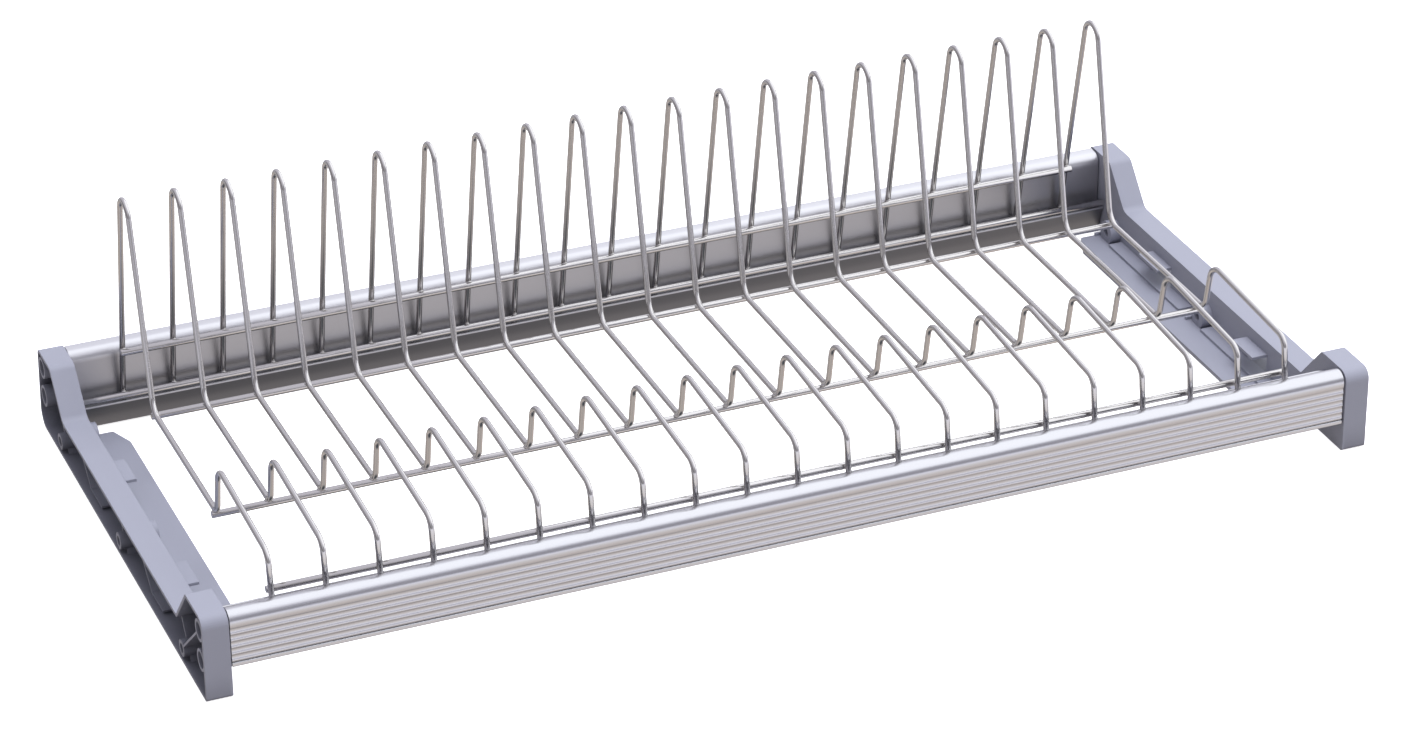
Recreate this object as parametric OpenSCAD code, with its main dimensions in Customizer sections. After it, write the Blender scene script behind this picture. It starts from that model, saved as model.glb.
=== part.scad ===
// Cabinet dish drainer
// Two moulded side brackets hold two extruded rails between the side walls of a wall cabinet.
// A welded wire plate rack stands on the ledges of the rails and lifts out for cleaning.
// X runs along the rails, +Y points to the back and +Z up, and the origin is the centre of the base.
// Inside the modules y is measured from the front face, and on_origin() moves a piece to the origin.

/* [Frame] */
// Width between the side walls of the cabinet, which the frame fills
frame_w = 564; // [364:1:964]
// Depth of the side brackets, which is the depth of the frame
frame_d = 268; // [256:1:320]

/* [Side brackets] */
// Thickness of a bracket, from the end of the rails to the cabinet wall
bracket_t = 12; // [8:0.5:18]
// Height of the two end blocks that carry the rails
block_h = 41; // [39:0.5:52]
// Height of the low middle between the end blocks
waist_h = 21; // [18:0.5:30]
// Thickness of the rim that runs round the bracket
rim_t = 1.5; // [1:0.1:2.4]
// Thickness of the web that closes the bracket towards the rails
web_t = 2; // [1.2:0.1:3.5]
// Depth of the flat top of the front block
front_top_d = 24; // [20:0.5:32]
// Depth of the slope behind the front block
front_slope_d = 17.7; // [12:0.1:24]
// Depth of the flat top of the rear block
rear_top_d = 21.6; // [18:0.1:26]
// Depth of the slope in front of the rear block
rear_slope_d = 17.9; // [12:0.1:24]
// Lean of the rear face, in degrees from upright
rear_face_lean = 5.6; // [0:0.1:9]

/* [Tray guide] */
// Width of the shelf at the foot of a bracket
shelf_w = 20.5; // [16:0.5:30]
// Thickness of the shelf
shelf_t = 2; // [1.5:0.1:3]
// Distance from the front face to the shelf
shelf_front = 24; // [20:0.5:32]
// Distance from the shelf to the rear face
shelf_rear_gap = 26.5; // [23:0.5:32]
// Free height between the raised pads and the hold-down tabs
guide_h = 9.5; // [6:0.1:11]
// Length of a hold-down tab
tab_l = 20; // [12:0.5:30]
// Width of a hold-down tab
tab_w = 8; // [6.5:0.1:14]
// Thickness of a hold-down tab
tab_t = 1.4; // [1:0.1:2.5]
// Height of a raised pad above the shelf
pad_h = 1.4; // [0.6:0.1:2.5]
// Length of a raised pad
pad_l = 76; // [40:0.5:84]

/* [Wall screws] */
// Distance from the front face to the first wall screw
wall_screw_front = 36; // [33:0.5:40]
// Distance from the last wall screw to the rear face
wall_screw_rear = 34.5; // [32:0.5:40]
// Height of the wall screws above the base
wall_screw_z = 6.8; // [6.2:0.1:8]
// Diameter of the holes for the wall screws
wall_screw_bore = 4.5; // [3.5:0.1:5.5]
// Diameter of the boss round a wall screw on the side of the rack
wall_boss_d = 12; // [9:0.5:12]
// Height of that boss above the web
wall_boss_h = 5.7; // [2:0.1:7]

/* [Rails] */
// Depth of the box section of both rails
rail_d = 9; // [8:0.1:12]
// Wall of both rails
rail_wall = 1.2; // [0.9:0.1:1.8]
// Height of the front rail
front_rail_h = 27; // [22:0.5:33]
// Distance from the front face of the brackets to the front rail
front_setback = 0.8; // [0:0.1:3]
// Distance from the rear rail to the rear face of the brackets
rear_setback = 5; // [4.5:0.1:7]
// Height of the lower edge of the rear rail above the base
rear_rail_z = 1; // [0:0.1:3]
// Height of the floor that carries the front feet of the rack
front_ledge_z = 32.5; // [28:0.5:34]
// Height of the floor that carries the rear feet of the rack
rear_ledge_z = 12; // [9:0.5:14]
// Depth of the front ledge
front_ledge_d = 9.6; // [8.5:0.1:12]
// Depth of the rear ledge
rear_ledge_d = 7; // [6.4:0.1:9]
// Number of flutes in the face of the front rail
flute_count = 6; // [1:1:6]
// Distance between one flute and the next
flute_pitch = 3.3; // [3:0.1:3.4]
// Depth of a flute
flute_depth = 0.35; // [0.1:0.05:0.5]

/* [Rail screws] */
// Shank diameter of the screws that hold the rails
screw_d = 3.9; // [3:0.1:4.4]
// Length of these screws under the head
screw_l = 22; // [12:0.5:40]
// Diameter of the screw head
screw_head_d = 7; // [6:0.1:8]
// Height of the screw head
screw_head_h = 2.6; // [1.5:0.1:4]

/* [Plate rack] */
// Number of plate wires
wire_count = 21; // [6:1:30]
// Diameter of the plate wires
wire_d = 2.8; // [2:0.1:3.5]
// Diameter of the rods that join them
rod_d = 3.3; // [2.5:0.1:4]
// Distance from the end of the rails to the first plate wire
rack_margin = 23.9; // [22:0.1:60]
// Height of the rack's top above the base
rack_top_z = 132.3; // [110:0.1:180]
// Radius of the bend at the top of the rack
loop_r = 7.2; // [5:0.1:9]
// Lean of the rear leg, in degrees from upright
rear_leg_lean = 11.25; // [9:0.05:13]
// Lean of the long leg that the plates rest on, in degrees from upright
long_leg_lean = 12.3; // [10:0.05:14]
// Height of the low run that the plates stand on
run_z = 34.6; // [28:0.1:40]
// Length of the low run between its corners
run_l = 100.1; // [80:0.1:110]
// Height of the hump in front of the plates above the low run
hump_h = 26.4; // [18:0.1:40]
// Lean of the riser of the hump, in degrees from upright
hump_lean = 11.35; // [0:0.05:15]
// Height of the front corner of the wire above the base
front_corner_z = 56.2; // [50:0.1:60]
// Lean of the front leg, in degrees from upright
front_leg_lean = 6.7; // [0:0.1:10]
// Radius of the bend behind the low run
heel_bend_r = 9; // [6:0.1:12]
// Radius of the other bends
bend_r = 6.5; // [4:0.1:8]

/* [Hidden] */
$fn = 48;
// How far a cut runs past the surface it opens
cut = 1;
// Flats along one round corner of an outline
corner_steps = 8;

// Corners of the bracket's side view
toe_r = 1.5;
nose_r = 5.5;
front_brow_r = 2;
front_root_r = 2;
rear_root_r = 6;
rear_brow_r = 5;
tail_r = 3;
heel_r = 8;
// Corners that follow from the heel's round standing at the full depth
heel_reach = heel_r * ((1 + sin(rear_face_lean)) / cos(rear_face_lean) - 1);
heel_y = frame_d + heel_reach;
tail_y = heel_y - block_h * tan(rear_face_lean);
rear_brow_y = tail_y - rear_top_d;
rear_root_y = rear_brow_y - rear_slope_d;
front_root_y = front_top_d + front_slope_d;
bracket_outline = [
    [0, 0], [0, block_h], [front_top_d, block_h], [front_root_y, waist_h],
    [rear_root_y, waist_h], [rear_brow_y, block_h], [tail_y, block_h], [heel_y, 0]
];
bracket_radii = [
    toe_r, nose_r, front_brow_r, front_root_r,
    rear_root_r, rear_brow_r, tail_r, heel_r
];

// Bracket places along X, on the right-hand side
rail_l = frame_w - 2 * bracket_t;
web_x = rail_l / 2;
cavity_x = web_x + web_t;
wall_x = frame_w / 2;

// Wall screws spread over the depth, with a bay from one to the next
stations = [0 : 2];
bays = [0 : 1];
wall_screw_pitch = (frame_d - wall_screw_front - wall_screw_rear) / len([for (bay = bays) bay]);

// Tray guide: shelf corner, and pads, tabs and low cross ribs, all placed in the bays
shelf_corner_w = 5;
shelf_corner_l = 12.5;
shelf_rear = frame_d - shelf_rear_gap;
pad_w = 7.2;
pad_offset = 16;
tab_forward = 1.125;
tab_offset = (wall_screw_pitch - tab_l) / 2 - tab_forward;
cross_rib_offset = 6.5;
cross_rib_t = 1.5;
cross_rib_h = 1.5;
pad_top_z = shelf_t + pad_h;
tab_z = pad_top_z + guide_h;

// Wall-screw collars on the cabinet side
collar_wall = 1.75;
collar_d = wall_screw_bore + 2 * collar_wall;

// Stiffening ribs in the outer side of the bracket
rib_t = 1.1;
rib_h = 7.2;
station_rib_foot = -4.3;
station_rib_head = 8;
brace_foot = 15.5;
brace_head = 38;

// Rail screws, their ports in the rails and their bosses in the brackets
port_clear = 0.1;
port_wall = 1.35;
port_bore = screw_d + 2 * port_clear;
port_d = port_bore + 2 * port_wall;
hole_clear = 0.2;
head_clear = 0.4;
boss_wall = 1.35;
boss_bore = screw_head_d + 2 * head_clear;
boss_d = boss_bore + 2 * boss_wall;
screw_tip_l = 3;
screw_tip_d = 1.2;
recess_l = 4;
recess_w = 0.9;
recess_depth = 1.3;
head_edge = 0.8;

// Rail sections
rail_drop = 0.5;
rail_top_z = block_h - rail_drop;
front_rail_z = rail_top_z - front_rail_h;
front_face_y = front_setback;
front_back_y = front_face_y + rail_d;
rear_back_y = frame_d - rear_setback;
rear_face_y = rear_back_y - rail_d;
front_port_y = front_face_y + rail_d / 2;
rear_port_y = rear_face_y + rail_d / 2;
upper_port_drop = 7;
lower_port_rise = 5;
port_zs = [rail_top_z - upper_port_drop, front_rail_z + lower_port_rise];
front_top_r = 5;
front_foot_r = 3;
rear_top_r = 4.5;
back_edge_r = 0.6;
first_flute_rise = 2.4;
flute_w = 2.9;
flute_r = (pow(flute_w, 2) / flute_depth / 4 + flute_depth) / 2;
ledge_t = 1.2;
front_lip_r = 1.1;
rear_lip_r = 1;
lip_rise = 1;
apron_foot_d = 11.5;
apron_hollow = 0.9;

// Rack: feet, rods and welds
seat_gap = 0.2;
front_foot_gap = 5.2;
rear_foot_gap = 3.1;
weld = 0.17;
wire_r = wire_d / 2;
bend_thinning = 0.02;
bend_lap = 0.1;
rod_r = rod_d / 2;
rod_overhang = 1.6;
long_rod_gap = 1;
lower_rod_up = 5.2;
upper_rod_up = 31;
front_rod_up = 5.6;
heel_rod_turn = 30;
middle_rod_back = 4.5;
wire_span = rail_l - 2 * rack_margin;
wire_pitch = wire_span / (wire_count - 1);
rod_l = wire_span + 2 * rod_overhang;
long_rod_l = rail_l - 2 * long_rod_gap;
rod_step = wire_r + rod_r - weld;

// Legs and corners of a wire in the (y, z) plane, from the rear foot over the top to the front foot
rear_leg = [-sin(rear_leg_lean), cos(rear_leg_lean)];
front_leg = [sin(front_leg_lean), cos(front_leg_lean)];
rear_foot = [rear_face_y - rear_foot_gap, rear_ledge_z + seat_gap + wire_r * sin(rear_leg_lean)];
front_foot = [front_back_y + front_foot_gap, front_ledge_z + seat_gap + wire_r * sin(front_leg_lean)];
loop_z = rack_top_z - wire_r - loop_r;
loop_y = rear_foot.x - (loop_z - rear_foot.y) * tan(rear_leg_lean) - loop_r / cos(rear_leg_lean);
long_leg_base_y = loop_y - loop_r / cos(long_leg_lean) - loop_z * tan(long_leg_lean);
rear_leg_base_y = rear_foot.x + rear_foot.y * tan(rear_leg_lean);
apex_z = (rear_leg_base_y - long_leg_base_y) / (tan(rear_leg_lean) + tan(long_leg_lean));
apex = [rear_leg_base_y - apex_z * tan(rear_leg_lean), apex_z];
heel = [long_leg_base_y + run_z * tan(long_leg_lean), run_z];
riser_foot = [heel.x - run_l, run_z];
hump = [riser_foot.x - hump_h * tan(hump_lean), run_z + hump_h];
front_corner = [front_foot.x + (front_corner_z - front_foot.y) * tan(front_leg_lean), front_corner_z];
wire_path = [rear_foot, apex, heel, riser_foot, hump, front_corner, front_foot];
wire_radii = [0, loop_r, heel_bend_r, bend_r, bend_r, bend_r, 0];

// Centres of the rods, each pressed into the wires by the depth of a weld
heel_centre = bend_centre(wire_path, wire_radii, 2);
lower_back_rod_at = rear_foot + lower_rod_up * rear_leg + rod_step * [-rear_leg.y, rear_leg.x];
upper_back_rod_at = rear_foot + upper_rod_up * rear_leg + rod_step * [-rear_leg.y, rear_leg.x];
rear_bottom_rod_at = heel_centre + (heel_bend_r + rod_step) * [sin(heel_rod_turn), -cos(heel_rod_turn)];
middle_rod_at = [riser_foot.x + middle_rod_back, run_z - rod_step];
front_rod_at = front_foot + front_rod_up * front_leg + rod_step * [front_leg.y, -front_leg.x];

// Colours
bracket_colour = "#a9abb9";
rail_colour = "#d5d5d8";
wire_colour = "#b9b6b2";
screw_colour = "#8d8f94";

// Pieces
wire_numbers = [1 : wire_count];
function wire_name(number) = str("plate_wire_", number < 10 ? "0" : "", number);

// Directions and bends along a row of corners
function unit(v) = v / norm(v);
function turn(a, b) = a.x * b.y - a.y * b.x;
function corner(points, i) = points[(i + len(points)) % len(points)];
function to_last(points, i) = unit(corner(points, i - 1) - points[i]);
function to_next(points, i) = unit(corner(points, i + 1) - points[i]);
function half_angle(points, i) = acos(to_last(points, i) * to_next(points, i)) / 2;
function bend_reach(points, radii, i) = radii[i] == 0 ? 0 : radii[i] / tan(half_angle(points, i));
function bend_start(points, radii, i) = points[i] + bend_reach(points, radii, i) * to_last(points, i);
function bend_end(points, radii, i) = points[i] + bend_reach(points, radii, i) * to_next(points, i);
function bend_centre(points, radii, i) =
    points[i] + unit(to_last(points, i) + to_next(points, i)) * radii[i] / sin(half_angle(points, i));
// True where a clockwise outline turns into its own solid
function is_root(points, i) = turn(to_last(points, i), to_next(points, i)) < 0;
// Corners of the outline a distance inside a clockwise one, and the radii that go with them
function inset(points, distance) = [
    for (i = [0 : len(points) - 1])
        points[i] + unit(to_last(points, i) + to_next(points, i))
            * (is_root(points, i) ? -distance : distance) / sin(half_angle(points, i))
];
function inset_radii(points, radii, distance) = [
    for (i = [0 : len(points) - 1])
        is_root(points, i) ? radii[i] + distance : max(radii[i] - distance, 0)
];
// Radius and centre of the arc that hollows the chord from p to q, on its left, by a distance
function arc_radius(p, q, hollow) = pow(norm(q - p), 2) / hollow / 8 + hollow / 2;
function arc_centre(p, q, hollow) =
    (p + q) / 2 + unit([(p - q).y, (q - p).x]) * (arc_radius(p, q, hollow) - hollow);

// Points along one round corner of a clockwise outline
function turned(v, angle) = [v.x * cos(angle) - v.y * sin(angle), v.x * sin(angle) + v.y * cos(angle)];
function corner_sweep(points, i) = (is_root(points, i) ? 1 : -1) * (180 - 2 * half_angle(points, i));
function round_corner(points, radii, i) = radii[i] == 0 ? [points[i]] : [
    for (step = [0 : corner_steps])
        bend_centre(points, radii, i)
            + turned(
                bend_start(points, radii, i) - bend_centre(points, radii, i),
                corner_sweep(points, i) * step / corner_steps
            )
];

// A clockwise outline with round corners
module rounded(points, radii) {
    polygon([for (i = [0 : len(points) - 1]) each round_corner(points, radii, i)]);
}

// Turns a drawing in (y, z) to stand across the rails, from x = 0 towards +X
module across() {
    rotate([90, 0, 90]) children();
}

module across_from(x, length) {
    translate([x, 0, 0]) across() linear_extrude(length) children();
}

module on_origin() {
    translate([0, -frame_d / 2, 0]) children();
}

// Side bracket: a web with a rim round it, open towards the cabinet wall
function wall_screw_y(station) = wall_screw_front + station * wall_screw_pitch;

module bracket_shell() {
    difference() {
        across_from(web_x, bracket_t) rounded(bracket_outline, bracket_radii);
        across_from(cavity_x, bracket_t)
            rounded(inset(bracket_outline, rim_t), inset_radii(bracket_outline, bracket_radii, rim_t));
    }
}

module shelf() {
    inner_x = web_x - shelf_w;
    linear_extrude(shelf_t) polygon([
        [cavity_x, shelf_front], [inner_x, shelf_front], [inner_x, shelf_rear - shelf_corner_l],
        [inner_x + shelf_corner_w, shelf_rear], [cavity_x, shelf_rear]
    ]);
}

// Pads and cross ribs of the shelf and the tabs over it
module guide_details() {
    for (bay = bays) {
        translate([web_x - pad_w, wall_screw_y(bay) + pad_offset, 0])
            cube([pad_w + web_t, pad_l, pad_top_z]);
        translate([web_x - tab_w, wall_screw_y(bay) + tab_offset, tab_z])
            cube([tab_w + web_t, tab_l, tab_t]);
    }
    for (station = stations)
        translate([web_x - tab_w, wall_screw_y(station) + cross_rib_offset, 0])
            cube([tab_w + web_t, cross_rib_t, shelf_t + cross_rib_h]);
}

// Window in the web under a tab, which lets the mould form the tab
module tab_windows() {
    for (bay = bays)
        translate([web_x - cut, wall_screw_y(bay) + tab_offset, pad_top_z])
            cube([web_t + 2 * cut, tab_l, guide_h]);
}

module wall_screw_bosses() {
    for (station = stations) {
        across_from(web_x - wall_boss_h, wall_boss_h + web_t)
            translate([wall_screw_y(station), wall_screw_z]) circle(d = wall_boss_d);
        across_from(web_x, bracket_t)
            translate([wall_screw_y(station), wall_screw_z]) circle(d = collar_d);
    }
}

module wall_screw_holes() {
    for (station = stations)
        across_from(web_x - wall_boss_h - cut, wall_boss_h + bracket_t + 2 * cut)
            translate([wall_screw_y(station), wall_screw_z]) circle(d = wall_screw_bore);
}

module rail_screw_bosses() {
    for (y = [front_port_y, rear_port_y]) for (z = port_zs)
        across_from(web_x, bracket_t) translate([y, z]) circle(d = boss_d);
}

module rail_screw_holes() {
    for (y = [front_port_y, rear_port_y]) for (z = port_zs) {
        across_from(cavity_x, bracket_t + cut) translate([y, z]) circle(d = boss_bore);
        across_from(web_x - cut, web_t + 2 * cut) translate([y, z]) circle(d = screw_d + 2 * hole_clear);
    }
}

// Rib between two points in the outer side, standing on the web
module rib(p, q, height) {
    across_from(web_x, web_t + height)
        translate(p) rotate(atan2(q.y - p.y, q.x - p.x))
            translate([0, -rib_t / 2]) square([norm(q - p), rib_t]);
}

// A rib through each wall-screw boss, a brace behind each window and a sill under it
module ribs() {
    floor_z = rim_t / 2;
    roof_z = waist_h - rim_t / 2;
    for (station = stations) {
        y = wall_screw_y(station);
        rib([y + station_rib_foot, floor_z], [y + station_rib_head, roof_z], rib_h);
    }
    for (bay = bays) {
        y = wall_screw_y(bay) + tab_offset;
        sill_z = pad_top_z - rib_t / 2;
        rib([y + brace_foot, floor_z], [y + brace_head, roof_z], rib_h);
        rib([y, sill_z], [y + tab_l, sill_z], rib_h);
    }
    rib([front_port_y, port_zs[0]], [wall_screw_y(0), wall_screw_z], bracket_t - web_t);
}

module bracket_ribs() {
    intersection() {
        ribs();
        across_from(web_x, bracket_t) rounded(bracket_outline, bracket_radii);
    }
}

module right_hand_bracket() {
    difference() {
        union() {
            bracket_shell();
            shelf();
            guide_details();
            wall_screw_bosses();
            rail_screw_bosses();
            bracket_ribs();
        }
        tab_windows();
        wall_screw_holes();
        rail_screw_holes();
    }
}

module right_bracket() {
    color(bracket_colour) on_origin() right_hand_bracket();
}

module left_bracket() {
    color(bracket_colour) on_origin() mirror([1, 0, 0]) right_hand_bracket();
}

// Rails: hollow extrusions with two screw ports, drawn in (y, z)
module along_rail(overrun = 0) {
    across_from(-rail_l / 2 - overrun, rail_l + 2 * overrun) children();
}

module box_tube(outline, radii) {
    along_rail() difference() {
        rounded(outline, radii);
        rounded(inset(outline, rail_wall), inset_radii(outline, radii, rail_wall));
    }
}

module ports(y) {
    for (z = port_zs) along_rail() translate([y, z]) circle(d = port_d);
}

module port_bores(y) {
    for (z = port_zs) along_rail(cut) translate([y, z]) circle(d = port_bore);
}

// Floor with a beaded lip at its outer end
module ledge(root_y, end_y, top_z, lip_r) {
    side = end_y > root_y ? 1 : -1;
    lip_y = end_y - side * lip_r;
    floor_z = top_z - ledge_t;
    along_rail() translate([min(root_y, lip_y), floor_z]) square([abs(lip_y - root_y), ledge_t]);
    along_rail() translate([lip_y - ledge_t / 2, floor_z]) square([ledge_t, ledge_t + lip_rise]);
    along_rail() translate([lip_y, top_z + lip_rise]) circle(lip_r);
}

module flutes() {
    for (flute = [0 : flute_count - 1])
        along_rail(cut) translate([
            front_face_y + flute_depth - flute_r,
            front_rail_z + first_flute_rise + flute * flute_pitch
        ]) circle(flute_r);
}

module front_rail_body() {
    outline = [
        [front_face_y, front_rail_z], [front_face_y, rail_top_z],
        [front_back_y, rail_top_z], [front_back_y, front_rail_z]
    ];
    difference() {
        union() {
            box_tube(outline, [front_foot_r, front_top_r, back_edge_r, back_edge_r]);
            ports(front_port_y);
            ledge(front_back_y - rail_wall, front_back_y + front_ledge_d, front_ledge_z, front_lip_r);
        }
        port_bores(front_port_y);
        flutes();
    }
}

// Second chamber of the rear rail, under its ledge, with a hollow curve in front
module apron() {
    brow = [rear_face_y - rear_ledge_d, rear_ledge_z - ledge_t];
    foot = [rear_back_y - apron_foot_d, rear_rail_z];
    top = brow + [0, ledge_t];
    outline = [foot, brow, top, [rear_back_y, rear_ledge_z], [rear_back_y, rear_rail_z]];
    curve_r = arc_radius(foot, brow, apron_hollow);
    curve_at = arc_centre(foot, brow, apron_hollow);
    difference() {
        along_rail() polygon(outline);
        along_rail(cut) difference() {
            polygon(inset(outline, rail_wall));
            translate(curve_at) circle(curve_r + rail_wall);
        }
        along_rail(cut) translate(curve_at) circle(curve_r);
    }
}

module rear_rail_body() {
    floor_z = rear_ledge_z - ledge_t;
    outline = [
        [rear_face_y, floor_z], [rear_face_y, rail_top_z],
        [rear_back_y, rail_top_z], [rear_back_y, floor_z]
    ];
    difference() {
        union() {
            box_tube(outline, [0, rear_top_r, back_edge_r, 0]);
            apron();
            ports(rear_port_y);
            ledge(rear_face_y + rail_wall, rear_face_y - rear_ledge_d, rear_ledge_z, rear_lip_r);
        }
        port_bores(rear_port_y);
    }
}

module front_rail() {
    color(rail_colour) on_origin() front_rail_body();
}

module rear_rail() {
    color(rail_colour) on_origin() rear_rail_body();
}

// Rail screw along -X, its head seated on the web at x = 0
module rail_screw() {
    recess = [recess_depth + cut, recess_l, recess_w];
    difference() {
        union() {
            across_from(0, screw_head_h - head_edge) circle(d = screw_head_d);
            translate([screw_head_h - head_edge, 0, 0]) across()
                cylinder(head_edge, d1 = screw_head_d, d2 = screw_head_d - 2 * head_edge);
            across_from(screw_tip_l - screw_l, screw_l - screw_tip_l) circle(d = screw_d);
            translate([-screw_l, 0, 0]) across()
                cylinder(screw_tip_l, d1 = screw_tip_d, d2 = screw_d);
        }
        for (quarter = [0, 1])
            rotate([quarter * 90, 0, 0])
                translate([screw_head_h - recess_depth, -recess_l / 2, -recess_w / 2]) cube(recess);
    }
}

module rail_screws(y) {
    for (z = port_zs) translate([cavity_x, y, z]) rail_screw();
}

module right_front_rail_screws() {
    color(screw_colour) on_origin() rail_screws(front_port_y);
}

module right_rear_rail_screws() {
    color(screw_colour) on_origin() rail_screws(rear_port_y);
}

module left_front_rail_screws() {
    color(screw_colour) on_origin() mirror([1, 0, 0]) rail_screws(front_port_y);
}

module left_rear_rail_screws() {
    color(screw_colour) on_origin() mirror([1, 0, 0]) rail_screws(rear_port_y);
}

// Plate wire: straights and bends in one upright plane
module straight(p, q) {
    translate(p) rotate(atan2(q.y - p.y, q.x - p.x)) rotate([0, 90, 0]) cylinder(norm(q - p), r = wire_r);
}

// The wire thins a hair in a bend, whose ends run a little way into the straights
module bend(i) {
    radius = wire_radii[i];
    centre = bend_centre(wire_path, wire_radii, i);
    start = bend_start(wire_path, wire_radii, i) - centre;
    end = bend_end(wire_path, wire_radii, i) - centre;
    first = turn(start, end) > 0 ? start : end;
    lap_angle = atan2(bend_lap, radius);
    translate(centre) rotate(atan2(first.y, first.x) - lap_angle)
        rotate_extrude(angle = acos(unit(start) * unit(end)) + 2 * lap_angle)
            translate([radius, 0]) circle(wire_r - bend_thinning);
}

module plate_wire(number) {
    last = len(wire_path) - 1;
    color(wire_colour) on_origin()
        translate([(number - (wire_count + 1) / 2) * wire_pitch, 0, 0]) across() {
            for (i = [0 : last - 1])
                straight(bend_end(wire_path, wire_radii, i), bend_start(wire_path, wire_radii, i + 1));
            for (i = [1 : last - 1]) bend(i);
        }
}

// Rods along X, welded to the plate wires
module rod(at, length) {
    color(wire_colour) on_origin()
        across_from(-length / 2, length) translate(at) circle(rod_r);
}

module upper_back_rod() {
    rod(upper_back_rod_at, rod_l);
}

module lower_back_rod() {
    rod(lower_back_rod_at, long_rod_l);
}

module rear_bottom_rod() {
    rod(rear_bottom_rod_at, rod_l);
}

module middle_rod() {
    rod(middle_rod_at, rod_l);
}

module front_rod() {
    rod(front_rod_at, rod_l);
}

left_bracket();
right_bracket();
front_rail();
rear_rail();
left_front_rail_screws();
left_rear_rail_screws();
right_front_rail_screws();
right_rear_rail_screws();
for (number = wire_numbers) plate_wire(number);
upper_back_rod();
lower_back_rod();
rear_bottom_rod();
middle_rod();
front_rod();
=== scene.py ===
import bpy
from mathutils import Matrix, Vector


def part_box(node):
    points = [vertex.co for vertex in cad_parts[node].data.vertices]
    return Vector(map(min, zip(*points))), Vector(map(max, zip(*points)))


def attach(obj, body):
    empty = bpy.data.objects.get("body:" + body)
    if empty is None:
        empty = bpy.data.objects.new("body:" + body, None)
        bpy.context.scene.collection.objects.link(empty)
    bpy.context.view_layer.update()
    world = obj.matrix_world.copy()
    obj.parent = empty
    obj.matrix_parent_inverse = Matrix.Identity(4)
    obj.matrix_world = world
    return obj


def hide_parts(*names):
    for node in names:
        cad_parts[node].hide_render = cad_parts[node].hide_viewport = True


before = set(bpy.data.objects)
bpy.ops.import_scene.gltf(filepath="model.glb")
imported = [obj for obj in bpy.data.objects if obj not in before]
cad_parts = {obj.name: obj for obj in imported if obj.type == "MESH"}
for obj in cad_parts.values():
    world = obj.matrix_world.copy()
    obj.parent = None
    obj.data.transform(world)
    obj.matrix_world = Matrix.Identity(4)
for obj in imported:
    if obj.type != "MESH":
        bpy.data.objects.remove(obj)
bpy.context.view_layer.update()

import math

import bmesh
import bpy
from mathutils import Matrix, Vector

MM = 0.001
scene = bpy.context.scene


# View: a long lens in front of the left end looks down over the rack.
# The image is 1401 by 730 pixels and the focal length is kept in the same pixels.
IMAGE_WIDTH = 1401
FOCAL_PIXELS = 4591.87
SENSOR_WIDTH = 36
VIEW_AZIMUTH = math.radians(-22.045)
VIEW_ELEVATION = math.radians(28.578)
VIEW_ROLL = math.radians(-0.570)
EYE = Vector((-706.584, -1748.603, 1064.120)) * MM

towards_eye = Vector((
    math.sin(VIEW_AZIMUTH) * math.cos(VIEW_ELEVATION),
    -math.cos(VIEW_AZIMUTH) * math.cos(VIEW_ELEVATION),
    math.sin(VIEW_ELEVATION),
))
level_right = Vector((0, 0, 1)).cross(towards_eye).normalized()
level_up = towards_eye.cross(level_right)
image_right = math.cos(VIEW_ROLL) * level_right + math.sin(VIEW_ROLL) * level_up
image_up = math.cos(VIEW_ROLL) * level_up - math.sin(VIEW_ROLL) * level_right
camera_data = bpy.data.cameras.new("camera")
camera_data.sensor_width = SENSOR_WIDTH
camera_data.lens = FOCAL_PIXELS * SENSOR_WIDTH / IMAGE_WIDTH
camera = bpy.data.objects.new("camera", camera_data)
camera_turn = Matrix((image_right, image_up, towards_eye)).transposed().to_4x4()
camera.matrix_world = Matrix.Translation(EYE) @ camera_turn
scene.collection.objects.link(camera)
scene.camera = camera
scene.view_settings.view_transform = "Standard"


# Studio: a plain pale floor under one soft box.
# The box lights the plastic from above, and the metal mirrors only the room, not the box or the floor.
def srgb(code):
    """Linear colour of a hex code such as '#a9abb9'."""
    shares = [int(code[i:i + 2], 16) / 255 for i in (1, 3, 5)]
    return (*[c / 12.92 if c <= 0.04045 else ((c + 0.055) / 1.055) ** 2.4 for c in shares], 1)


def add_node(tree, kind, inputs=None, **settings):
    """Adds a node with its settings, and its inputs by name or place: a value, or an output to link."""
    made = tree.nodes.new(kind)
    for name, value in settings.items():
        setattr(made, name, value)
    for name, value in (inputs or {}).items():
        if isinstance(value, bpy.types.NodeSocket):
            tree.links.new(value, made.inputs[name])
        else:
            made.inputs[name].default_value = value
    return made


def new_material(name):
    """An empty node material, its tree and its Principled shader."""
    material = bpy.data.materials.new(name)
    material.use_nodes = True
    return material, material.node_tree, material.node_tree.nodes["Principled BSDF"]


# The camera sees the paper glow white, and the object gets only the soft bounce of a pale grey floor.
PAPER_GLOW = 0.8
floor_paper, tree, shader = new_material("matte_paper")
shader.inputs["Base Color"].default_value = srgb("#bcb8b4")
shader.inputs["Roughness"].default_value = 0.95
shader.inputs["Specular IOR Level"].default_value = 0.1
lit_paper = add_node(tree, "ShaderNodeBsdfDiffuse", {"Color": srgb("#f4f4f5")})
own_light = add_node(tree, "ShaderNodeEmission", {"Color": srgb("#ffffff"), "Strength": PAPER_GLOW})
bright_paper = add_node(tree, "ShaderNodeAddShader", {
    0: lit_paper.outputs["BSDF"], 1: own_light.outputs["Emission"],
})
seen = add_node(tree, "ShaderNodeLightPath").outputs["Is Camera Ray"]
paper = add_node(tree, "ShaderNodeMixShader", {
    0: seen, 1: shader.outputs["BSDF"], 2: bright_paper.outputs["Shader"],
})
tree.links.new(paper.outputs["Shader"], tree.nodes["Material Output"].inputs["Surface"])

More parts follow.
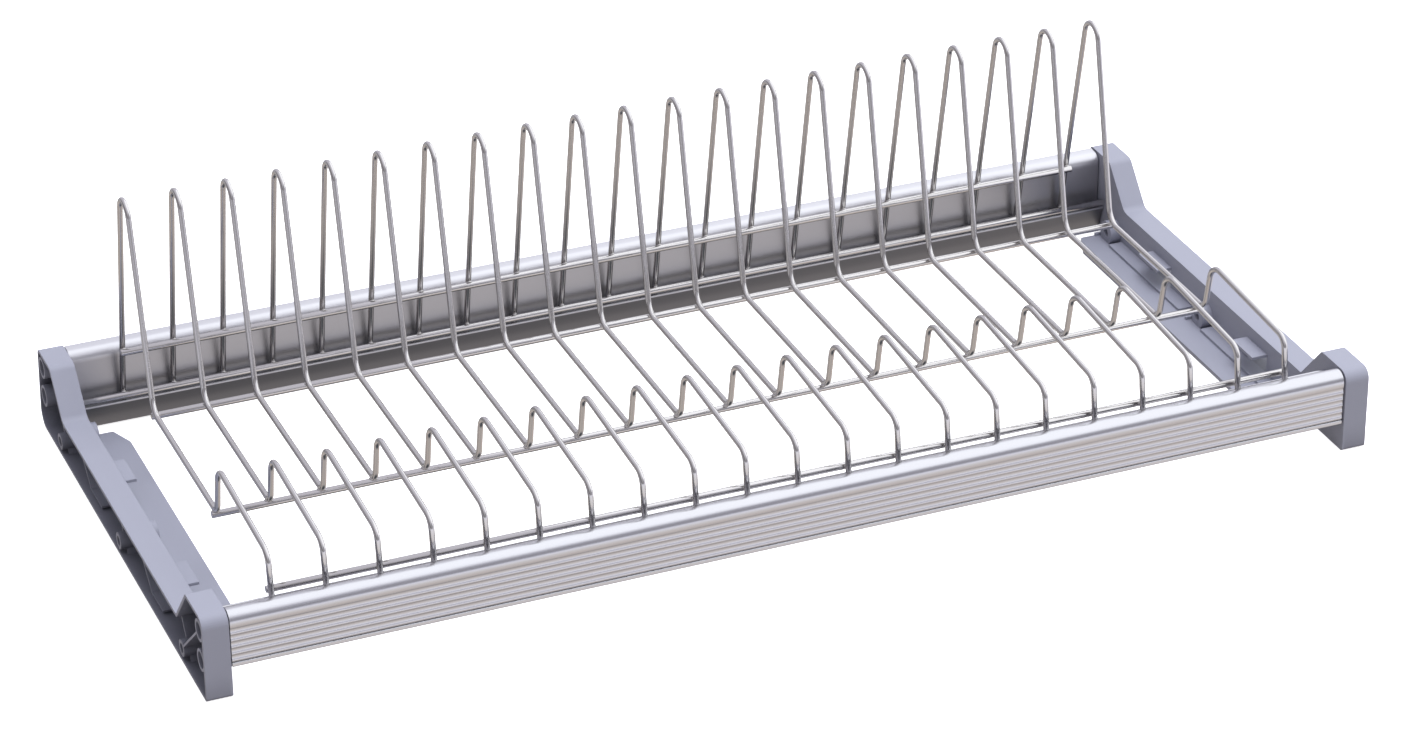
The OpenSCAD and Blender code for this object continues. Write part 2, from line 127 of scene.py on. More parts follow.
FLOOR_HALF = 8
FLOOR_DROP = 0.2 * MM
floor_corners = [
    (x * FLOOR_HALF, y * FLOOR_HALF, -FLOOR_DROP) for x, y in ((-1, -1), (1, -1), (1, 1), (-1, 1))
]
floor_mesh = bpy.data.meshes.new("floor")
floor_mesh.from_pydata(floor_corners, [], [(0, 1, 2, 3)])
floor_mesh.materials.append(floor_paper)
floor = bpy.data.objects.new("floor", floor_mesh)
scene.collection.objects.link(floor)
floor.visible_glossy = False

BOX_WIDTH, BOX_DEPTH = 1.6, 1.2
BOX_WATTS = 32
BOX_PLACE = Vector((0.3, -0.2, 2.0))
BOX_TARGET = Vector((0, 0, 0.05))
box_light = bpy.data.lights.new("top_box", "AREA")
box_light.shape = "RECTANGLE"
box_light.size, box_light.size_y = BOX_WIDTH, BOX_DEPTH
box_light.energy = BOX_WATTS
box_light.color = srgb("#f8f9ff")[:3]
top_box = bpy.data.objects.new("top_box", box_light)
top_box.location = BOX_PLACE
top_box.rotation_euler = (BOX_TARGET - BOX_PLACE).to_track_quat("-Z", "Y").to_euler()
top_box.visible_glossy = False
scene.collection.objects.link(top_box)


# Room: what the metal mirrors. A light tent hangs high on the right over darker walls with a dark doorway.
# The ground is light far away, and darkest straight below, on the left and behind.
# Tones stand at shares of the way, from the first cosine to the tent's middle or from the horizon down.
TENT_SIDE = Vector((0.75, 0.06, 0.66)).normalized()
TENT_FIRST_COSINE = -0.4
TENT_TONES = (
    (0.071, "#646265"), (0.18, "#7d7b7f"), (0.37, "#9b9aa2"),
    (0.725, "#a4a3ab"), (0.762, "#d3d5da"), (1.0, "#d6d7da"),
)
GROUND_TONES = (
    (0.05, "#bebec8"), (0.25, "#bab9bf"), (0.48, "#aaa6a3"),
    (0.70, "#a19994"), (0.85, "#858180"), (0.95, "#3a3c40"),
)
DOORWAY = Vector((0.33, -0.93, 0.15)).normalized()
# A shade is the measure where it is deepest, the measure where it ends, and the share of light left in it.
DOORWAY_SHADE = (0.98, 0.82, 0.5)
LEFT_SHADE = (-0.9, -0.5, 0.5)
BACK_SHADE = (0.95, 0.45, 0.45)
HORIZON_BLEND = 0.08
ROOM_STRENGTH = 2.15


def tone_ramp(tree, share, tones):
    """The colour of a ramp with these stops, at this share of its length."""
    ramp = add_node(tree, "ShaderNodeValToRGB", {"Fac": share})
    stops = ramp.color_ramp.elements
    while len(stops) < len(tones):
        stops.new(0.5)
    for stop, (at, code) in zip(stops, tones):
        stop.position = at
        stop.color = srgb(code)
    return ramp.outputs["Color"]


def dimmed(tree, colour, measure, shade):
    """A colour that loses light where the measure comes into the shade."""
    deepest, end, share_left = shade
    share = add_node(tree, "ShaderNodeMapRange", {
        "Value": measure, "From Min": deepest, "From Max": end, "To Min": share_left, "To Max": 1.0,
    }, interpolation_type="SMOOTHSTEP")
    return add_node(tree, "ShaderNodeVectorMath", {
        0: colour, "Scale": share.outputs["Result"],
    }, operation="SCALE").outputs["Vector"]


world = bpy.data.worlds.new("room")
scene.world = world
world.use_nodes = True
tree = world.node_tree
looking = add_node(tree, "ShaderNodeTexCoord").outputs["Generated"]
parts = add_node(tree, "ShaderNodeSeparateXYZ", {"Vector": looking}).outputs
towards_tent = add_node(tree, "ShaderNodeVectorMath", {0: looking, 1: TENT_SIDE}, operation="DOT_PRODUCT")
tent_share = add_node(tree, "ShaderNodeMapRange", {
    "Value": towards_tent.outputs["Value"], "From Min": TENT_FIRST_COSINE, "From Max": 1.0,
})
tent = tone_ramp(tree, tent_share.outputs["Result"], TENT_TONES)
towards_door = add_node(tree, "ShaderNodeVectorMath", {0: looking, 1: DOORWAY}, operation="DOT_PRODUCT")
tent = dimmed(tree, tent, towards_door.outputs["Value"], DOORWAY_SHADE)
depth = add_node(tree, "ShaderNodeMath", {0: parts["Z"], 1: -1.0}, operation="MULTIPLY").outputs["Value"]
ground = tone_ramp(tree, depth, GROUND_TONES)
ground = dimmed(tree, ground, parts["X"], LEFT_SHADE)
ground = dimmed(tree, ground, parts["Y"], BACK_SHADE)
below = add_node(tree, "ShaderNodeMapRange", {"Value": depth, "From Min": 0.0, "From Max": HORIZON_BLEND})
room = add_node(tree, "ShaderNodeMix", {
    "Factor": below.outputs["Result"], 6: tent, 7: ground,
}, data_type="RGBA")
tree.links.new(room.outputs["Result"], tree.nodes["Background"].inputs["Color"])
tree.nodes["Background"].inputs["Strength"].default_value = ROOM_STRENGTH


# Side brackets: injection-moulded ABS in a cool grey, open towards the cabinet wall.
# A mould with an even spark texture leaves the surface matte, with soft broad highlights.
# The grain is drawn coarser than a real one, which would be too fine to show.
MOULD_GRAIN, MOULD_GRAIN_DEPTH = 0.7 * MM, 0.05 * MM
MOULD_SMOOTHEST, MOULD_ROUGHEST = 0.42, 0.54
MOULD_EDGE = 0.35 * MM
TONE_DRIFT = 70 * MM
WEB_FACE, WEB_THICKNESS = 270 * MM, 2 * MM
# Painted shade in the pockets: how far it looks for walls, and the share of colour left where they close in.
POCKET_REACH = 25 * MM
POCKET_CLOSED, POCKET_OPEN = 0.2, 0.8
POCKET_SHARE = 0.5

moulded_abs, tree, shader = new_material("moulded_abs")
place = add_node(tree, "ShaderNodeTexCoord").outputs["Object"]
drift = add_node(tree, "ShaderNodeTexNoise", {"Vector": place, "Scale": 1 / TONE_DRIFT, "Detail": 2})
tone = add_node(tree, "ShaderNodeMix", {
    "Factor": drift.outputs["Fac"], 6: srgb("#9294a1"), 7: srgb("#9698a5"),
}, data_type="RGBA")
grain = add_node(tree, "ShaderNodeTexNoise", {
    "Vector": place, "Scale": 1 / MOULD_GRAIN, "Detail": 3, "Roughness": 0.6,
}).outputs["Fac"]
roughness = add_node(tree, "ShaderNodeMapRange", {
    "Value": grain, "To Min": MOULD_SMOOTHEST, "To Max": MOULD_ROUGHEST,
})
rounded_edge = add_node(tree, "ShaderNodeBevel", {"Radius": MOULD_EDGE}, samples=4)
relief = add_node(tree, "ShaderNodeBump", {
    "Height": grain, "Strength": 0.12, "Distance": MOULD_GRAIN_DEPTH,
    "Normal": rounded_edge.outputs["Normal"],
})
# The pockets on the outer side of the web get painted shade, and the inner side of the web keeps its full
# tone.
side_place = add_node(tree, "ShaderNodeSeparateXYZ", {"Vector": place}).outputs["X"]
side_reach = add_node(tree, "ShaderNodeMath", {0: side_place}, operation="ABSOLUTE").outputs["Value"]
darkest = add_node(tree, "ShaderNodeMapRange", {
    "Value": side_reach, "To Min": 1.0, "To Max": POCKET_SHARE,
    "From Min": WEB_FACE + WEB_THICKNESS / 4, "From Max": WEB_FACE + WEB_THICKNESS * 3 / 4,
})
# Painted shade: the colour darkens where the pocket walls close in around a point.
open_share = add_node(tree, "ShaderNodeAmbientOcclusion", {"Distance": POCKET_REACH}, samples=8)
painted_pocket_shade = add_node(tree, "ShaderNodeMapRange", {
    "Value": open_share.outputs["AO"], "From Min": POCKET_CLOSED, "From Max": POCKET_OPEN,
    "To Min": darkest.outputs["Result"],
})
shaded = add_node(tree, "ShaderNodeVectorMath", {
    0: tone.outputs["Result"], "Scale": painted_pocket_shade.outputs["Result"],
}, operation="SCALE")
tree.links.new(shaded.outputs["Vector"], shader.inputs["Base Color"])
tree.links.new(roughness.outputs["Result"], shader.inputs["Roughness"])
tree.links.new(relief.outputs["Normal"], shader.inputs["Normal"])
shader.inputs["IOR"].default_value = 1.53


def dress(node, material):
    """Gives a CAD node that stays in the scene its finish."""
    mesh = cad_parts[node].data
    mesh.materials.clear()
    mesh.materials.append(material)


for side in ("left", "right"):
    dress(f"{side}_bracket", moulded_abs)


# Rails: extruded aluminium, satin anodised, so each keeps the faint lines that the die drew along it.
# The satin layer spreads the room's reflection into soft bands along the rail.
# The lines are drawn wider than real ones, which would be too fine to show.
DIE_LINE, DIE_LINE_LENGTH, DIE_LINE_DEPTH = 0.45 * MM, 160 * MM, 0.02 * MM
RAIL_EDGE = 0.15 * MM
RAIL_END_GAP = 0.65 * MM
RAIL_HALF_LENGTH = WEB_FACE - RAIL_END_GAP
FRAME_HALF_DEPTH = 134 * MM
ARC_STEP = 7.5
BEAD_STEPS = 18
SMOOTH_LIMIT = math.radians(22)


def anodised(name, smoothest, roughest):
    """Satin anodised aluminium with die lines along X, still without its colour."""
    material, tree, shader = new_material(name)
    place = add_node(tree, "ShaderNodeTexCoord").outputs["Object"]
    drawn = add_node(tree, "ShaderNodeMapping", {
        "Vector": place, "Scale": (1 / DIE_LINE_LENGTH, 1 / DIE_LINE, 1 / DIE_LINE),
    })
    die_lines = add_node(tree, "ShaderNodeTexNoise", {
        "Vector": drawn.outputs["Vector"], "Scale": 1, "Detail": 3, "Roughness": 0.6,
    }).outputs["Fac"]
    roughness = add_node(tree, "ShaderNodeMapRange", {
        "Value": die_lines, "To Min": smoothest, "To Max": roughest,
    })
    rounded_edge = add_node(tree, "ShaderNodeBevel", {"Radius": RAIL_EDGE}, samples=4)
    relief = add_node(tree, "ShaderNodeBump", {
        "Height": die_lines, "Strength": 0.04, "Distance": DIE_LINE_DEPTH,
        "Normal": rounded_edge.outputs["Normal"],
    })
    tree.links.new(roughness.outputs["Result"], shader.inputs["Roughness"])
    tree.links.new(relief.outputs["Normal"], shader.inputs["Normal"])
    shader.inputs["Metallic"].default_value = 1
    return material, tree, shader


def turn(centre, radius, start, end, steps=None):
    """Points of an outline round a centre, from angle to angle in degrees: 0 is to the back and 90 is up."""
    steps = steps or math.ceil(abs(end - start) / ARC_STEP)
    angles = [math.radians(start + (end - start) * s / steps) for s in range(steps + 1)]
    return [Vector(centre) + radius * Vector((math.cos(a), math.sin(a))) for a in angles]


def hollow(start, end, depth):
    """Points of a shallow arc from start to end, with its deepest point on the right of the way."""
    chord = end - start
    radius = chord.length_squared / depth / 8 + depth / 2
    centre = (start + end) / 2 + Vector((-chord.y, chord.x)).normalized() * (radius - depth)
    middle_angle = math.degrees(math.atan2(-chord.x, chord.y))
    half_angle = math.degrees(math.asin(chord.length / 2 / radius))
    return turn(centre, radius, middle_angle - half_angle, middle_angle + half_angle)


def extrusion(name, outline, material):
    """A rail with closed ends, from its outline in millimetres from the front and the base of the frame."""
    shape = bmesh.new()
    left, right = (
        [shape.verts.new((x, p.x * MM - FRAME_HALF_DEPTH, p.y * MM)) for p in outline]
        for x in (-RAIL_HALF_LENGTH, RAIL_HALF_LENGTH)
    )
    for i in range(len(outline)):
        j = (i + 1) % len(outline)
        shape.faces.new((left[i], left[j], right[j], right[i]))
    shape.faces.new(left[::-1])
    shape.faces.new(right)
    bmesh.ops.recalc_face_normals(shape, faces=shape.faces)
    mesh = bpy.data.meshes.new(name)
    shape.to_mesh(mesh)
    shape.free()
    mesh.shade_smooth()
    mesh.set_sharp_from_angle(angle=SMOOTH_LIMIT)
    mesh.materials.append(material)
    made = bpy.data.objects.new(name, mesh)
    scene.collection.objects.link(made)
    return made


def fit_rail(rail, node):
    """Puts a finished rail in the place of its CAD node."""
    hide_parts(node)
    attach(rail, "frame")


# Front rail: a narrow box with six shallow flutes in its face and a round crown.
# A ledge with a beaded lip behind it takes the front feet of the rack.
# The sizes of its outline are in millimetres, from the front and the base of the frame.
FACE_Y, BACK_Y = 0.8, 9.8
FOOT_Z, TOP_Z = 13.5, 40.5
FOOT_BEND, TOP_BEND, BACK_BEND = 3, 5, 0.6
FOOT_STEPS = 13
CROWN_Y, CROWN_BEND = 6.5, 6
FLUTE_COUNT, FLUTE_PITCH, FLUTE_WIDTH, FLUTE_DEPTH = 6, 3.3, 2.9, 0.3
FIRST_FLUTE_Z = 15.9
LEDGE_Z, LEDGE_THICKNESS = 32.5, 1.2
LIP_Y, LIP_Z, LIP_RADIUS = 18.3, 33.5, 1.1
LIP_ANGLES = (210, -30)
FILLET, ROOT_FILLET = 0.4, 0.5
LIP_FILLET_ANGLES = (270, 336.8)

front_anodised, tree, shader = anodised("satin_anodised_aluminium", smoothest=0.23, roughest=0.29)
shader.inputs["Base Color"].default_value = srgb("#d2d2d6")

fluted_face = []
for flute in range(FLUTE_COUNT):
    low_z = FIRST_FLUTE_Z + flute * FLUTE_PITCH - FLUTE_WIDTH / 2
    fluted_face += hollow(Vector((FACE_Y, low_z)), Vector((FACE_Y, low_z + FLUTE_WIDTH)), FLUTE_DEPTH)
crown_end = math.degrees(math.acos((BACK_Y - CROWN_Y) / CROWN_BEND))
lip_back = LIP_Y + LEDGE_THICKNESS / 2
ledge_under = LEDGE_Z - LEDGE_THICKNESS
front_outline = (
    turn((FACE_Y + FOOT_BEND, FOOT_Z + FOOT_BEND), FOOT_BEND, 270, 180, FOOT_STEPS)
    + fluted_face
    + turn((FACE_Y + TOP_BEND, TOP_Z - TOP_BEND), TOP_BEND, 180, 90)
    + turn((CROWN_Y, TOP_Z - CROWN_BEND), CROWN_BEND, 90, crown_end)
    + turn((BACK_Y + FILLET, LEDGE_Z + FILLET), FILLET, 180, 270)
    + turn((LIP_Y - LIP_RADIUS, LEDGE_Z + FILLET), FILLET, *LIP_FILLET_ANGLES)
    + turn((LIP_Y, LIP_Z), LIP_RADIUS, *LIP_ANGLES, BEAD_STEPS)
    + turn((lip_back - FILLET, ledge_under + FILLET), FILLET, 0, -90)
    + turn((BACK_Y + ROOT_FILLET, ledge_under - ROOT_FILLET), ROOT_FILLET, 90, 180)
    + turn((BACK_Y - BACK_BEND, FOOT_Z + BACK_BEND), BACK_BEND, 0, -90)
)
fit_rail(extrusion("front_rail_extrusion", front_outline, front_anodised), "front_rail")


# Rear rail: a wider box with a plain panel, on whose finer ledge the rear feet of the rack stand.
# Under the ledge it has an apron with a hollow curve. Its outline is measured like that of the front rail.
# The apron and the panel carry painted shade for the soft shade of the rack, a tone darker than the lip, the
# top and the back.
PANEL_Y, REAR_BACK_Y = 254, 263
REAR_FOOT_Z, REAR_LEDGE_Z, PANEL_TOP_Z, REAR_TOP_Z = 1, 12, 40.2, 40.5
PANEL_CROWN, REAR_EDGE_BEND, REAR_FILLET = 4.5, 0.6, 0.4
APRON_FOOT, APRON_BROW, APRON_HOLLOW = Vector((251.5, 1)), Vector((247.05, 13.2)), 0.5
REAR_LIP_Y, REAR_LIP_Z, REAR_LIP_RADIUS = 247.65, 13.4, 0.6
REAR_LIP_ANGLES = (190, -30)
REAR_LIP_FILLET_CENTRE, REAR_LIP_FILLET = (249.1, 12.35), 0.3354
REAR_LIP_FILLET_ANGLES = (206.57, 270)
OPEN_TONE = "#dcdce0"
SHADED_HEIGHT = 40 * MM
SHADED_TONES = (
    (0.20, "#8e8e92"), (0.32, "#98989c"), (0.345, OPEN_TONE),
    (0.37, "#b0afb2"), (0.86, "#b2b1b4"), (0.95, OPEN_TONE),
)
# Places behind the middle of the frame, between which the painted shade gives way to the open tone.
SHADED_END, OPEN_START = 124 * MM, 128 * MM

# The rear copy of the satin aluminium, with painted shade in its colour by height.
rear_anodised, tree, shader = anodised("satin_anodised_aluminium_rear", smoothest=0.36, roughest=0.42)
place = add_node(tree, "ShaderNodeTexCoord").outputs["Object"]
parts = add_node(tree, "ShaderNodeSeparateXYZ", {"Vector": place}).outputs
height_share = add_node(tree, "ShaderNodeMapRange", {"Value": parts["Z"], "From Max": SHADED_HEIGHT})
painted_shade_by_height = tone_ramp(tree, height_share.outputs["Result"], SHADED_TONES)
behind = add_node(tree, "ShaderNodeMapRange", {
    "Value": parts["Y"], "From Min": SHADED_END, "From Max": OPEN_START,
})
tone = add_node(tree, "ShaderNodeMix", {
    "Factor": behind.outputs["Result"], 6: painted_shade_by_height, 7: srgb(OPEN_TONE),
}, data_type="RGBA")
tree.links.new(tone.outputs["Result"], shader.inputs["Base Color"])

rear_outline = (
    hollow(APRON_FOOT, APRON_BROW, APRON_HOLLOW)
    + turn((REAR_LIP_Y, REAR_LIP_Z), REAR_LIP_RADIUS, *REAR_LIP_ANGLES, BEAD_STEPS)
    + turn(REAR_LIP_FILLET_CENTRE, REAR_LIP_FILLET, *REAR_LIP_FILLET_ANGLES)
    + turn((PANEL_Y - REAR_FILLET, REAR_LEDGE_Z + REAR_FILLET), REAR_FILLET, -90, 0)
    + turn((PANEL_Y + PANEL_CROWN, PANEL_TOP_Z - PANEL_CROWN), PANEL_CROWN, 180, 90)
    + turn((REAR_BACK_Y - REAR_EDGE_BEND, REAR_TOP_Z - REAR_EDGE_BEND), REAR_EDGE_BEND, 90, 0)
    + turn((REAR_BACK_Y - REAR_EDGE_BEND, REAR_FOOT_Z + REAR_EDGE_BEND), REAR_EDGE_BEND, 0, -90)
)
fit_rail(extrusion("rear_rail_extrusion", rear_outline, rear_anodised), "rear_rail")


# Rail screws: zinc-plated steel, cold headed, driven into the ports of the rails.
# The plating leaves a bright skin that is mottled by fine crystals, drawn coarse enough to show.
ZINC_GRAIN = 0.5 * MM
ZINC_SMOOTHEST, ZINC_ROUGHEST = 0.28, 0.45
zinc_plated, tree, shader = new_material("zinc_plated_steel")
place = add_node(tree, "ShaderNodeTexCoord").outputs["Object"]
crystals = add_node(tree, "ShaderNodeTexVoronoi", {"Vector": place, "Scale": 1 / ZINC_GRAIN})
roughness = add_node(tree, "ShaderNodeMapRange", {
    "Value": crystals.outputs["Distance"], "To Min": ZINC_SMOOTHEST, "To Max": ZINC_ROUGHEST,
})
tree.links.new(roughness.outputs["Result"], shader.inputs["Roughness"])
shader.inputs["Base Color"].default_value = srgb("#b9bcc2")
shader.inputs["Metallic"].default_value = 1

for side in ("left", "right"):
    for end in ("front", "rear"):
        dress(f"{side}_{end}_rail_screws", zinc_plated)


# Plate wires: drawn stainless wire, each bent cold to a loop for the plates and a hump in front.
# Bending and electropolishing leave a bright skin with faint lines along the wire.
# The lines are drawn wider than real ones, which would be too fine to show.
WIRE_COUNT = 21
WIRE_PITCH = 24.61 * MM
WIRE_RADIUS = 1.4 * MM
REAR_FOOT, FRONT_FOOT = Vector((250.9, 12.47)) * MM, Vector((15.0, 32.86)) * MM
REAR_LEAN, LONG_LEAN, HUMP_LEAN, FRONT_LEAN = (math.radians(lean) for lean in (11.25, 12.3, 11.35, 6.7))
LOOP_TOP, LOOP_BEND = 132.3 * MM, 7.2 * MM
RUN_HEIGHT, RUN_LENGTH = 34.6 * MM, 100.1 * MM
HEEL_BEND, RISER_BEND = 9 * MM, 6.5 * MM
HUMP_HEIGHT, HUMP_BEND = 26.4 * MM, 9 * MM
SHOULDER_HEIGHT, SHOULDER_BEND = 56.2 * MM, 6.5 * MM
CHAMFER = 0.2 * MM
CUT_END_SHARE = 0.88
WIRE_SIDES = 16
BEND_STEP = math.radians(6)
BEAD_DIVISIONS = 3
DRAWN_LINE, DRAWN_LINE_LENGTH, DRAWN_LINE_DEPTH = 0.35 * MM, 12 * MM, 0.02 * MM
STEEL_SMOOTHEST, STEEL_ROUGHEST = 0.10, 0.20

polished_steel, tree, shader = new_material("electropolished_steel")
along_wire = add_node(tree, "ShaderNodeAttribute", attribute_name="wire_grain").outputs["Vector"]
drawn = add_node(tree, "ShaderNodeMapping", {
    "Vector": along_wire, "Scale": (1 / DRAWN_LINE_LENGTH, 1 / DRAWN_LINE, 1 / DRAWN_LINE),
})
lines = add_node(tree, "ShaderNodeTexNoise", {
    "Vector": drawn.outputs["Vector"], "Scale": 1, "Detail": 2,
}).outputs["Fac"]
roughness = add_node(tree, "ShaderNodeMapRange", {
    "Value": lines, "To Min": STEEL_SMOOTHEST, "To Max": STEEL_ROUGHEST,
})
relief = add_node(tree, "ShaderNodeBump", {"Height": lines, "Strength": 0.08, "Distance": DRAWN_LINE_DEPTH})
tree.links.new(roughness.outputs["Result"], shader.inputs["Roughness"])
tree.links.new(relief.outputs["Normal"], shader.inputs["Normal"])
shader.inputs["Base Color"].default_value = srgb("#d1cfce")
shader.inputs["Metallic"].default_value = 1


def bent_path(corners):
    """Points of a wire in its upright plane, from corners given as (y, z, bend radius), in metres."""
    points = []
    for i, (y, z, radius) in enumerate(corners):
        here = Vector((y, z))
        if radius == 0:
            points.append(here)
            continue
        last = (Vector(corners[i - 1][:2]) - here).normalized()
        following = (Vector(corners[i + 1][:2]) - here).normalized()
        half = math.acos(max(-1, min(1, last.dot(following)))) / 2
        centre = here + (last + following).normalized() * radius / math.sin(half)
        start = here + last * radius / math.tan(half) - centre
        sweep = math.pi - 2 * half
        if start.x * (here - centre).y - start.y * (here - centre).x < 0:
            sweep = -sweep
        steps = max(3, math.ceil(abs(sweep) / BEND_STEP))
        points += [centre + Matrix.Rotation(sweep * s / steps, 2) @ start for s in range(steps + 1)]
    return points


def plate_wire_corners():
    """The wire's corners from the rear foot over the loop, the low run and the hump to the front foot."""
    loop_z = LOOP_TOP - WIRE_RADIUS - LOOP_BEND
    loop_y = REAR_FOOT.x - (loop_z - REAR_FOOT.y) * math.tan(REAR_LEAN) - LOOP_BEND / math.cos(REAR_LEAN)
    long_base = loop_y - LOOP_BEND / math.cos(LONG_LEAN) - loop_z * math.tan(LONG_LEAN)
    rear_base = REAR_FOOT.x + REAR_FOOT.y * math.tan(REAR_LEAN)
    apex_z = (rear_base - long_base) / (math.tan(REAR_LEAN) + math.tan(LONG_LEAN))
    heel_y = long_base + RUN_HEIGHT * math.tan(LONG_LEAN)
    riser_y = heel_y - RUN_LENGTH
    shoulder_y = FRONT_FOOT.x + (SHOULDER_HEIGHT - FRONT_FOOT.y) * math.tan(FRONT_LEAN)
    return [
        (REAR_FOOT.x, REAR_FOOT.y, 0),
        (rear_base - apex_z * math.tan(REAR_LEAN), apex_z, LOOP_BEND),
        (heel_y, RUN_HEIGHT, HEEL_BEND),
        (riser_y, RUN_HEIGHT, RISER_BEND),
        (riser_y - HUMP_HEIGHT * math.tan(HUMP_LEAN), RUN_HEIGHT + HUMP_HEIGHT, HUMP_BEND),
        (shoulder_y, SHOULDER_HEIGHT, SHOULDER_BEND),
        (FRONT_FOOT.x, FRONT_FOOT.y, 0),
    ]


def row_of_points(tree, count, pitch):
    """Points along X at this pitch, centred on the middle."""
    less_one = add_node(tree, "ShaderNodeMath", {0: count, 1: 1.0}, operation="SUBTRACT")
    reach = add_node(tree, "ShaderNodeMath", {0: less_one.outputs["Value"], 1: pitch}, operation="MULTIPLY")
    half_back = add_node(tree, "ShaderNodeMath", {0: reach.outputs["Value"], 1: -0.5}, operation="MULTIPLY")
    first = add_node(tree, "ShaderNodeCombineXYZ", {"X": half_back.outputs["Value"]})
    step = add_node(tree, "ShaderNodeCombineXYZ", {"X": pitch})
    return add_node(tree, "GeometryNodeMeshLine", {
        "Count": count, "Start Location": first.outputs["Vector"], "Offset": step.outputs["Vector"],
    }).outputs["Mesh"]


def round_bar_tree():
    """Geometry tree that makes a row of round bars along X from one line, and a row of weld beads."""
    tree = bpy.data.node_groups.new("round_bars", "GeometryNodeTree")
    for name, kind in (
        ("Geometry", "NodeSocketGeometry"), ("Count", "NodeSocketInt"), ("Pitch", "NodeSocketFloat"),
        ("Radius", "NodeSocketFloat"), ("Sides", "NodeSocketInt"), ("Material", "NodeSocketMaterial"),
        ("Beads", "NodeSocketInt"), ("Bead Pitch", "NodeSocketFloat"), ("Bead Place", "NodeSocketVector"),
        ("Bead Size", "NodeSocketVector"), ("Bead Turn", "NodeSocketVector"),
    ):
        tree.interface.new_socket(name, in_out="INPUT", socket_type=kind)
    tree.interface.new_socket("Geometry", in_out="OUTPUT", socket_type="NodeSocketGeometry")
    given = add_node(tree, "NodeGroupInput").outputs

    line = add_node(tree, "GeometryNodeMeshToCurve", {"Mesh": given["Geometry"]})
    length = add_node(tree, "GeometryNodeSplineParameter")
    held_length = add_node(tree, "GeometryNodeStoreNamedAttribute", {
        "Geometry": line.outputs["Curve"], "Name": "length_along", "Value": length.outputs["Length"],
    }, data_type="FLOAT", domain="POINT")
    section = add_node(tree, "GeometryNodeCurvePrimitiveCircle", {
        "Resolution": given["Sides"], "Radius": given["Radius"],
    })
    section_place = add_node(tree, "GeometryNodeInputPosition")
    held_section = add_node(tree, "GeometryNodeStoreNamedAttribute", {
        "Geometry": section.outputs["Curve"], "Name": "place_in_section",
        "Value": section_place.outputs["Position"],
    }, data_type="FLOAT_VECTOR", domain="POINT")
    thickness = add_node(tree, "GeometryNodeInputNamedAttribute", {"Name": "thickness"}, data_type="FLOAT")
    bar = add_node(tree, "GeometryNodeCurveToMesh", {
        "Curve": held_length.outputs["Geometry"], "Profile Curve": held_section.outputs["Geometry"],
        "Scale": thickness.outputs["Attribute"], "Fill Caps": True,
    })

    along = add_node(tree, "GeometryNodeInputNamedAttribute", {"Name": "length_along"}, data_type="FLOAT")
    across = add_node(tree, "GeometryNodeInputNamedAttribute", {
        "Name": "place_in_section",
    }, data_type="FLOAT_VECTOR")
    in_section = add_node(tree, "ShaderNodeSeparateXYZ", {"Vector": across.outputs["Attribute"]})
    grain = add_node(tree, "ShaderNodeCombineXYZ", {
        "X": along.outputs["Attribute"], "Y": in_section.outputs["X"], "Z": in_section.outputs["Y"],
    })
    grained = add_node(tree, "GeometryNodeStoreNamedAttribute", {
        "Geometry": bar.outputs["Mesh"], "Name": "wire_grain", "Value": grain.outputs["Vector"],
    }, data_type="FLOAT_VECTOR", domain="POINT")
    copies = add_node(tree, "GeometryNodeInstanceOnPoints", {
        "Points": row_of_points(tree, given["Count"], given["Pitch"]),
        "Instance": grained.outputs["Geometry"],
    })

    bead = add_node(tree, "GeometryNodeMeshIcoSphere", {"Radius": 1.0, "Subdivisions": BEAD_DIVISIONS})
    bead_row = add_node(tree, "GeometryNodeTransform", {
        "Geometry": row_of_points(tree, given["Beads"], given["Bead Pitch"]),
        "Translation": given["Bead Place"],
    })
    beads = add_node(tree, "GeometryNodeInstanceOnPoints", {
        "Points": bead_row.outputs["Geometry"], "Instance": bead.outputs["Mesh"],
        "Rotation": given["Bead Turn"], "Scale": given["Bead Size"],
    })

    both = add_node(tree, "GeometryNodeJoinGeometry", {"Geometry": copies.outputs["Instances"]})
    tree.links.new(beads.outputs["Instances"], both.inputs["Geometry"])
    real = add_node(tree, "GeometryNodeRealizeInstances", {"Geometry": both.outputs["Geometry"]})
    smooth = add_node(tree, "GeometryNodeSetShadeSmooth", {"Geometry": real.outputs["Geometry"]})
    finished = add_node(tree, "GeometryNodeSetMaterial", {
        "Geometry": smooth.outputs["Geometry"], "Material": given["Material"],
    })
    add_node(tree, "NodeGroupOutput", {"Geometry": finished.outputs["Geometry"]})
    return tree


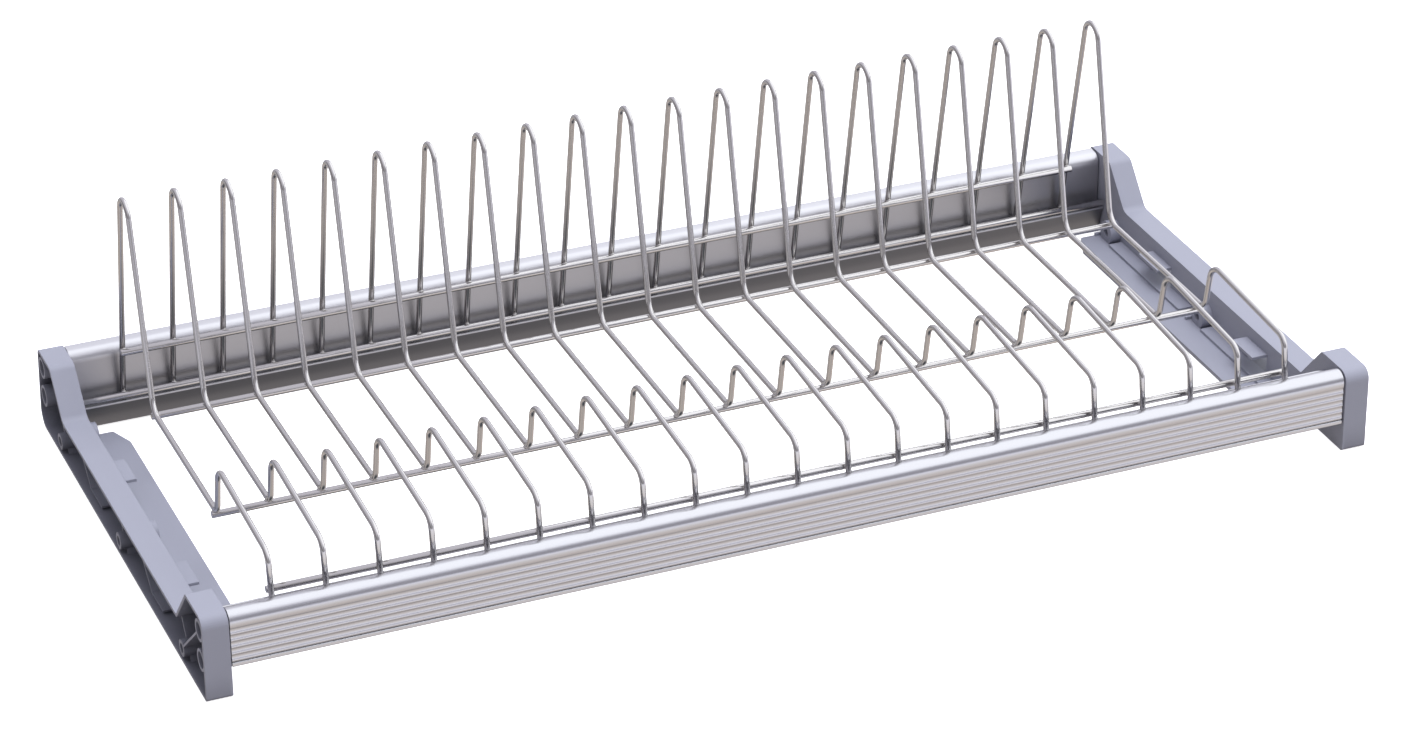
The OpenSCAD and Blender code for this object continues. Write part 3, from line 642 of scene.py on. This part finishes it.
def grow(name, points, tree, values):
    """Runs a geometry tree on a line of points, chamfered at both ends, and returns its plain mesh."""
    first, last = (
        end.lerp(neighbour, CHAMFER / (neighbour - end).length)
        for end, neighbour in ((points[0], points[1]), (points[-1], points[-2]))
    )
    line = [points[0], first, *points[1:-1], last, points[-1]]
    seed_mesh = bpy.data.meshes.new(name + "_seed")
    seed_mesh.from_pydata(line, [(i, i + 1) for i in range(len(line) - 1)], [])
    thickness = seed_mesh.attributes.new("thickness", "FLOAT", "POINT")
    thickness.data.foreach_set("value", [CUT_END_SHARE] + [1] * (len(line) - 2) + [CUT_END_SHARE])
    seed_object = bpy.data.objects.new(name + "_seed", seed_mesh)
    scene.collection.objects.link(seed_object)
    modifier = seed_object.modifiers.new("grow", "NODES")
    modifier.node_group = tree
    for item in tree.interface.items_tree:
        if item.in_out == "INPUT" and item.name in values:
            modifier[item.identifier] = values[item.name]
    depsgraph = bpy.context.evaluated_depsgraph_get()
    mesh = bpy.data.meshes.new_from_object(seed_object.evaluated_get(depsgraph), depsgraph=depsgraph)
    mesh.name = name
    made = bpy.data.objects.new(name, mesh)
    scene.collection.objects.link(made)
    bpy.data.objects.remove(seed_object)
    return made


round_bars = round_bar_tree()
wire_points = [Vector((0, p.x - FRAME_HALF_DEPTH, p.y)) for p in bent_path(plate_wire_corners())]
plate_wires = grow("plate_wires", wire_points, round_bars, {
    "Count": WIRE_COUNT, "Pitch": WIRE_PITCH, "Radius": WIRE_RADIUS, "Sides": WIRE_SIDES,
    "Material": polished_steel,
})
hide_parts(*[f"plate_wire_{number:02d}" for number in range(1, WIRE_COUNT + 1)])
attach(plate_wires, "rack")


# Rods: straight stainless wire across the plate wires, sheared off with a slight chamfer.
# Each crossing is spot welded, which squeezes a small bead of steel out between wire and rod.
ROD_SIDES = 24
BEAD_SIZE = Vector((1.7, 1.25, 0.75)) * MM
# Turn of the line from the wire to the rod about X, in degrees: 0 puts the rod under the wire.
ROD_TURNS = {
    "upper_back_rod": -78.75, "lower_back_rod": -78.75,
    "rear_bottom_rod": 30, "middle_rod": 0, "front_rod": 83.3,
}
for rod, degrees in ROD_TURNS.items():
    low, high = (Vector(corner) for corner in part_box(rod))
    middle, radius = (low + high) / 2, (high.z - low.z) / 2
    rod_turn = math.radians(degrees)
    rod_points = [Vector((x, middle.y, middle.z)) for x in (low.x, 0, high.x)]
    bead_place = Vector((0, middle.y - radius * math.sin(rod_turn), middle.z + radius * math.cos(rod_turn)))
    rod_bar = grow(rod + "_bar", rod_points, round_bars, {
        "Count": 1, "Radius": radius, "Sides": ROD_SIDES, "Material": polished_steel,
        "Beads": WIRE_COUNT, "Bead Pitch": WIRE_PITCH, "Bead Place": bead_place,
        "Bead Size": BEAD_SIZE, "Bead Turn": Vector((rod_turn, 0, 0)),
    })
    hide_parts(rod)
    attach(rod_bar, "rack")
